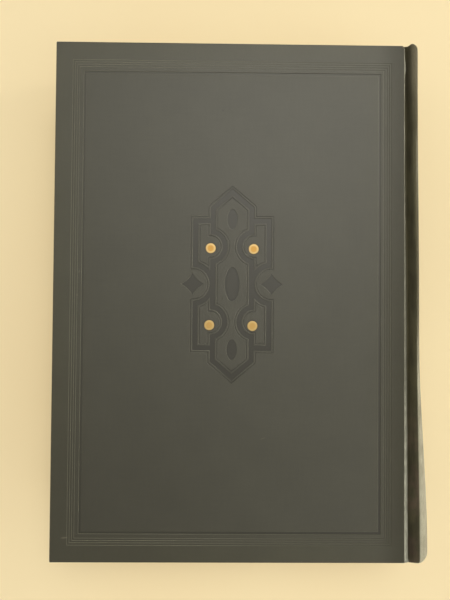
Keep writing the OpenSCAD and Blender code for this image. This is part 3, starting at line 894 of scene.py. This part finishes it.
def flare(y):
    """How far the spine has widened at y: slowly over the upper half, then fast, 0 to 1."""
    fast = along(y, *flare_low)
    slow = slow_flare * along(y, *flare_high) * (1 - fast)
    return math.hypot(fast, slow)


def pull(y):
    """How far the end of the spine is rounded in at y."""
    d, cap_r = min((head_y - y, cap_head), (y - tail_y, cap_tail))
    return 0 if d >= cap_r else cap_r - math.sqrt(cap_r ** 2 - (cap_r - d) ** 2)


def crest_at(y):
    return mix(crest_head, crest_tail, flare(y)) - pull(y)


def lower_half(y):
    return along(y, *lower_run)


def ridge_at(y):
    ridge = mix(ridge_head, crest_at(y) - ridge_short, lower_half(y)) + 0.2 * pull(y)
    return min(ridge, crest_at(y) - 0.2)


def strip_at(y):
    """Width of the slope over the board's edge that carries the painted highlight, a little uneven
    along the spine.
    """
    wide = mix(strip_head, strip_tail, along(y, *wide_run))
    wide += 0.9 * ease(1 - abs(y - wide_spot) / wide_spot_half) + 0.3 * along(y, *wide_end)
    return wide * (1 + 0.16 * noise.noise((0.3, y / 14, 0)) + 0.08 * noise.noise((0.7, y / 4, 0)))


def edge_highlight_at(y):
    """How strong the painted highlight on the cloth over the board's edge is: least in the middle."""
    return mix(0.38, 1, along(y, *edge_highlight_low)) + 0.3 * along(y, *edge_highlight_high)


def dirt_and_shade_at(y):
    """How much soiling and painted shade the ridge gets: all but the head end of it."""
    return along(y, *dirt_and_shade_run)


def fade_and_highlight_at(y):
    """How much the top of the round is sunned, and lit by a painted highlight: the lower half, and a
    little higher up.
    """
    spot = ease(1 - abs(y - fade_and_highlight_spot) / fade_and_highlight_spot_half)
    return min(1, along(y, *fade_and_highlight_run) + 0.35 * spot)


def groove_at(y):
    """Depth of the groove, shallow over the turned-in cloth at its ends."""
    return mix(groove_lip, groove_depth, ease(min(head_y - y, y - tail_y) / lip_run))


def half_section(y, upper=True):
    """Half of the section at y: (u, v, soiling with painted shade, sunned colour with a painted
    highlight, painted highlight over the board's edge), u from the board's edge outwards and v up
    from the face of the cover. The lower half is sunned evenly."""
    even = mix(even_head, even_tail, along(y, *even_run))
    soil_and_shade, fade_and_highlight = (dirt_and_shade_at(y), fade_and_highlight_at(y)) if upper else (low_soil_and_shade, even)
    strip = strip_at(y)
    floor_u = mix(groove_head, groove_low, lower_half(y))
    ridge = ridge_at(y)
    low = ridge_drop + 0.15 * pull(y)
    deep = groove_at(y)
    edge_drop = min(strip_slope * strip, 0.75 * deep)
    half = mm_mid - low
    rise = mix(round_head, round_tail, flare(y))
    big_r = arc_radius(half, rise)
    centre = crest_at(y) + rise - big_r
    turn = math.asin(half / big_r) - crest_arc / big_r
    px = centre + big_r * math.cos(turn)
    pv = big_r * math.sin(turn) - mm_mid
    qx = px - (-low - pv) * math.tan(turn)
    sx = max(ridge, qx - crest_arc)
    down = lower_half(y)
    points = [(u, v, 0, 0, 0) for u, v in start_points]
    for t in edge_shares:
        edge_highlight = edge_highlight_at(y) * ease(t / 0.12) * (1 - 0.8 * ease((t - 0.85) / 0.15))
        points.append((strip * t, -edge_drop * t * min(1, 0.5 + 3 * t), 0, 0, edge_highlight))
    for i in range(drop_steps):
        t = i / drop_steps
        v = mix(-edge_drop, -deep, math.sin(math.pi / 2 * t))
        points.append((mix(strip, floor_u, t ** 1.3), v, 0.5 + 0.5 * ease(t * 3), 0,
                       0.2 * edge_highlight_at(y) * (1 - ease(t * 4))))
    for i in range(ramp_steps):
        t = i / ramp_steps
        soft = (1 - math.cos(math.pi * t)) / 2
        quick = math.sin(math.pi / 2 * t)
        v = mix(-deep, -low, mix(soft, quick, down))
        points.append((mix(floor_u, ridge, t), v, mix(1 - 0.75 * ease(t), 1, soil_and_shade), 0, 0))
    for i in range(crest_steps):
        t = i / crest_steps
        u = (1 - t) ** 2 * sx + 2 * t * (1 - t) * qx + t * t * px
        v = -(1 - t) ** 2 * low - 2 * t * (1 - t) * low + t * t * pv
        # Past the crest the cloth takes the sunned colour with a painted highlight.
        points.append((u, v, mix(0.25 * (1 - t), 1, soil_and_shade),
                       fade_and_highlight * ease((u - crest_at(y) + 0.6) / 0.6), 0))
    for i in range(round_steps + 1):
        a = turn * (1 - i / round_steps) ** 1.6
        lower = ease((i / round_steps - 0.42 + 0.14 * noise.noise((y / 9, i / 3, 0.5))) / 0.5)
        points.append((centre + big_r * math.cos(a), big_r * math.sin(a) - mm_mid,
                       mix(soil_and_shade, even_soil, lower), mix(fade_and_highlight, even, lower), 0))
    return points


def board_side(i):
    """1 on the board's side of the groove, 0 from the ridge on."""
    return 1 - ease((i - ramp_start) / ramp_steps)


def section_ring(y, depth):
    """The section at y, set in by depth, as points in metres of the back half."""
    section = half_section(y)
    ring = []
    from_end = min(max(0, up_half - abs(y)), board_edge_r)
    rounding = board_edge_r - math.sqrt(board_edge_r ** 2 - (board_edge_r - from_end) ** 2)
    for i, (u, v, *_) in enumerate(section):
        before = section[max(0, i - 1)]
        after = section[min(len(section) - 1, i + 1)]
        du, dv = after[0] - before[0], after[1] - before[1]
        if i == len(section) - 1:
            du, dv = 0, -1
        length = math.hypot(du, dv)
        u += depth * dv / length
        v -= depth * du / length
        v -= rounding * (1 - ease((i - drop_start) / drop_steps))
        on_round = ease((i - card_start) / crest_steps)
        y_here = y - head_over * board_side(i) * ease((y - head_y + lift_len) / lift_len)
        y_here -= tail_sag * on_round * ease((tail_y + lift_len - y) / lift_len)
        ring.append(Vector((edge_x + u * MM, y_here * MM, book_z + v * MM)))
    return ring


def heights():
    """Rows up the spine, closer together towards its ends."""
    rows = [tail_y + row for row in end_rows] + [head_y - row for row in end_rows]
    rows += [mix(tail_y + middle_from, head_y - middle_from, i / middle_rows)
             for i in range(middle_rows + 1)]
    return sorted(rows)


def ribbon(pairs, first, upper):
    """Points, faces, UVs and marks of a closed layer through pairs of ((depth, y), (depth, y)),
    one for either face, from point first of the section on."""
    near, far, uvs, marks = [], [], [], {key: [] for key in mark_names}
    for pair in pairs:
        rings = [section_ring(y, depth)[first:] for depth, y in pair]
        near.append(rings[0])
        far.append(rings[1])
    for rings in (near, far):
        for ring, pair in zip(rings, pairs):
            section = half_section(pair[0][1], upper)[first:]
            run = 0
            for i, p in enumerate(ring):
                if i:
                    run += (p - ring[i - 1]).length
                uvs.append((run, p.y))
                joint = ease((first + i - len(start_points) + 1) / 2)
                for key, value in zip(mark_names, (*section[i][2:], joint)):
                    marks[key].append(value)
    points, faces = two_sided(near, far)
    return points, faces, uvs, marks


def turned_in(end_y, inward):
    """Pairs of the cloth that is folded over the end of the card and glued inside the spine."""
    over_card = cloth_t + card_t
    inside_y = end_y + inward * cloth_t
    pairs = [((cloth_t * 0.5, end_y), (cloth_t * 0.5, inside_y)),
             ((over_card, end_y), (over_card, inside_y)),
             ((over_card + cloth_t - 0.12, end_y + inward * 0.12), (over_card, inside_y))]
    for row in fold_in_rows:
        pairs.append(((over_card + cloth_t, end_y + inward * row),
                      (over_card, end_y + inward * (row + 0.001))))
    return pairs


def spine_half(name, flip, upper):
    """Half of the spine cloth with its joint: the outer shell and the folds at both ends."""
    rows = heights()
    shell = []
    for k, y in enumerate(rows):
        from_end = min(k, len(rows) - 1 - k)
        rounding = end_rounding[from_end] if from_end < len(end_rounding) else 0
        shell.append(((rounding, y), (cloth_t, y)))
    parts = [ribbon(shell, 0, upper), ribbon(turned_in(tail_y, 1), card_start, upper),
             ribbon(turned_in(head_y, -1), card_start, upper)]
    points, faces, uvs, marks = [], [], [], {key: [] for key in mark_names}
    for part_points, part_faces, part_uvs, part_marks in parts:
        faces += [[len(points) + i for i in face] for face in part_faces]
        points += [(p[0], p[1], flip(p[2])) for p in part_points]
        uvs += part_uvs
        for key in marks:
            marks[key] += part_marks[key]
    return make_piece(name, points, faces, uvs, marks, smooth_angle=50)


def groove_and_fade(material, colour):
    """Soiling and painted shade in the groove, the sunned back with a painted highlight, browning
    and a painted sheen towards the head, and a painted highlight over the board's edge.
    """
    where = place(material)
    blotch = grain(material, where, 160, 4.0, 0.6)
    joint = mark_of(material, "joint")
    flat = calc(material, "SUBTRACT", 1.0, joint)
    colour = mix_colour(material, flat, colour, tanned, "MULTIPLY")
    colour = mix_colour(material, times(material, flat, beside_most), colour, darkened, "MULTIPLY")
    head = xyz(material, where)[1]
    # Towards the head the joint cloth gets browning and a painted sheen that lighten it.
    brown_and_sheen = plus(material, spread(material, head, 0.04, 0.115, 0.2, 0.8),
                 spread(material, blotch, 0.3, 0.7, 0, 0.15))
    colour = mix_colour(material, times(material, joint, brown_and_sheen), colour, browned_and_sheen, "MULTIPLY")
    patches = spread(material, grain(material, where, 70, 4.0, 0.6), 0.42, 0.6)
    earthy = times(material, patches, spread(material, head, -0.09, -0.03, 1, 0))
    # Soiling and painted shade for the groove.
    shaded_dirt = mix_colour(material, earthy, dirt_and_shade_colour, earth_colour)
    creases = grain(material, stretch(material, where, (230, 45, 230)), 1.0, 5.0, 0.65)
    clouds = grain(material, where, 48, 5.0, 0.65)
    worn_most = spread(material, plus(material, creases, clouds), 0.72, 1.22)
    # Sunned colour of the back, made paler as a painted highlight.
    bleached_and_lit = mix_colour(material, worn_most, half_faded_highlight, faded_highlight_colour)
    threads = spread(material, weave(material, place(material, "UV")), 0, 1, 0.8, 1.15)
    streaks = spread(material, creases, 0.35, 0.65, 0.75, 1.25)
    # The three marks lay soiling with painted shade in the groove, the sunned colour with a painted
    # highlight on the back, and a painted highlight over the board's edge.
    for key, tone, unevenness in (("grime_and_shade", scaled(material, shaded_dirt, streaks), 0.3),
                                  ("faded_and_highlight", scaled(material, bleached_and_lit, threads), 0.25),
                                  ("edge_highlight", edge_highlight_colour, 0.4)):
        patchy = spread(material, blotch, 0.3, 0.7, 1 - unevenness, 1)
        amount = times(material, mark_of(material, key), patchy)
        colour = mix_colour(material, amount, colour, tone)
    return colour


spine_material = book_cloth("spine_cloth", cover_shine, groove_and_fade)
from_edge = mark_of(spine_material, "joint")
surface(spine_material, values={
    "Specular IOR Level": spread(spine_material, from_edge, 0, 1, beside_shine, spine_shine),
    "Roughness": spread(spine_material, from_edge, 0, 1, cloth_rough, spine_rough)})
for side, flip in covers:
    half = spine_half(side + "_joint_and_spine_cloth", flip, side == "back")
    half.data.materials.append(spine_material)
    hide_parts("spine_cloth")
    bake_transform(half, "text_block", side + "_cover",
             start=(edge_x + 5.6 * MM, 0, flip(book_z)), end=(edge_x + 0.8 * MM, 0, flip(book_z)))


# Gilt dots
# Four round spots of gold leaf, pressed into the cloth with a warm brass tool after the blind
# stamp. The leaf is orange in the middle, paler towards the rim as a painted highlight, and worn
# in places.
gold_middle = (0.57, 0.31, 0.065, 1)
# Painted highlight towards the rim of each dot.
gold_rim_highlight = (0.71, 0.5, 0.21, 1)
gold_worn = (0.3, 0.19, 0.07, 1)
gold_dull = (0.45, 0.31, 0.11, 1)


def gold_leaf():
    material = new_material("gold_leaf", 0.5)
    where = place(material)
    crumple = grain(material, where, 1800, 4.0, 0.6)
    tone = grain(material, where, 420, 2.0)
    parts = xyz(material, where)
    low_half = spread(material, parts[1], 0.0, 0.02, 1, 0)
    away = plus(material, from_dots(material, where), times(material, tone, 0.2))
    # Paler towards the rim of each dot: a painted highlight.
    colour = mix_colour(material, spread(material, away, 0.6, 0.85), gold_middle, gold_rim_highlight)
    colour = mix_colour(material, spread(material, away, 1.02, 1.12, 0, 0.8), colour, gold_worn)
    colour = mix_colour(material, times(material, low_half, 0.6), colour, gold_dull)
    return surface(material, colour, crumple, 0.06 * MM, {"Metallic": 0.35})


dress("gilt_dots", gold_leaf())


# Table, light and camera
# The book lies on pale cream card. A wide soft lamp stands at the upper right, with a weak one
# at the lower right and a low screen at the spine. The camera looks straight down on the cover.
table_half = 3.0
warm_white = (1, 0.97, 0.9)
backdrop_colour = (0.72, 0.67, 0.52, 1)
cream_dark, cream_light = (0.88, 0.73, 0.45, 1), (0.9, 0.755, 0.47, 1)
camera_spot = (-0.00396, -0.0039, 0.25826)
camera_turn = (1.075, -0.563, 0.428)


def table_top():
    material = new_material("cream_card", 0.75)
    tone = grain(material, place(material), 6, 3.0)
    return surface(material, mix_colour(material, spread(material, tone, 0.3, 0.7),
                                        cream_dark, cream_light))


def soft_lamp(name, spot, aim, width, height, power):
    data = bpy.data.lights.new(name, "AREA")
    data.shape = "RECTANGLE"
    data.size, data.size_y = width, height
    data.energy = power
    data.color = warm_white
    lamp = put_in_scene(name, data)
    lamp.location = spot
    lamp.visible_camera = False
    lamp.rotation_euler = (Vector(aim) - Vector(spot)).to_track_quat("-Z", "Y").to_euler()
    return lamp


table_mesh = bpy.data.meshes.new("table")
table_mesh.from_pydata([(-table_half, -table_half, 0), (table_half, -table_half, 0),
                        (table_half, table_half, 0), (-table_half, table_half, 0)],
                       [], [(0, 1, 2, 3)])
table_mesh.materials.append(table_top())
table = put_in_scene("table", table_mesh)

soft_lamp("key", (0.58, 1.23, 2.67), aim=(0, 0, 0), width=1.6, height=1.6, power=35.5)
soft_lamp("fill", (1.3, -1.1, 1.3), aim=(0, 0, 0), width=1.0, height=1.0, power=3)
spine_screen = soft_lamp("spine_screen", (1.3, 0.1, 0.12), aim=(0.09, 0, 0.03),
                         width=1.2, height=0.16, power=1.2)
spine_screen.data.spread = math.radians(30)
spine_screen.visible_glossy = False

world = bpy.data.worlds.new("studio")
world.use_nodes = True
sky = world.node_tree.nodes["Background"]
feed(world, sky.inputs["Color"], (*warm_white, 1))
feed(world, sky.inputs["Strength"], 0.62)
direction = place(world, "Generated")
east, north, above = xyz(world, direction)
lean = plus(world, times(world, east, 0.7), times(world, north, 0.5))
brighter = plus(world, times(world, lean, above), 1.0)
backdrop = add(world, "ShaderNodeBackground", {"Color": backdrop_colour, "Strength": brighter})
seen = add(world, "ShaderNodeLightPath", {}).outputs
shown = calc(world, "MAXIMUM", calc(world, "MAXIMUM", seen["Is Camera Ray"], seen["Is Glossy Ray"]),
             seen["Is Transmission Ray"])
either = add(world, "ShaderNodeMixShader", {0: shown, 1: sky.outputs[0], 2: backdrop.outputs[0]})
feed(world, world.node_tree.nodes["World Output"].inputs[0], either.outputs[0])
bpy.context.scene.world = world
bpy.context.scene.view_settings.view_transform = "Standard"

camera_data = bpy.data.cameras.new("camera")
camera_data.lens = 27.6
camera_data.clip_start = 0.01
camera = put_in_scene("camera", camera_data)
camera.location = camera_spot
camera.rotation_euler = tuple(math.radians(a) for a in camera_turn)
bpy.context.scene.camera = camera
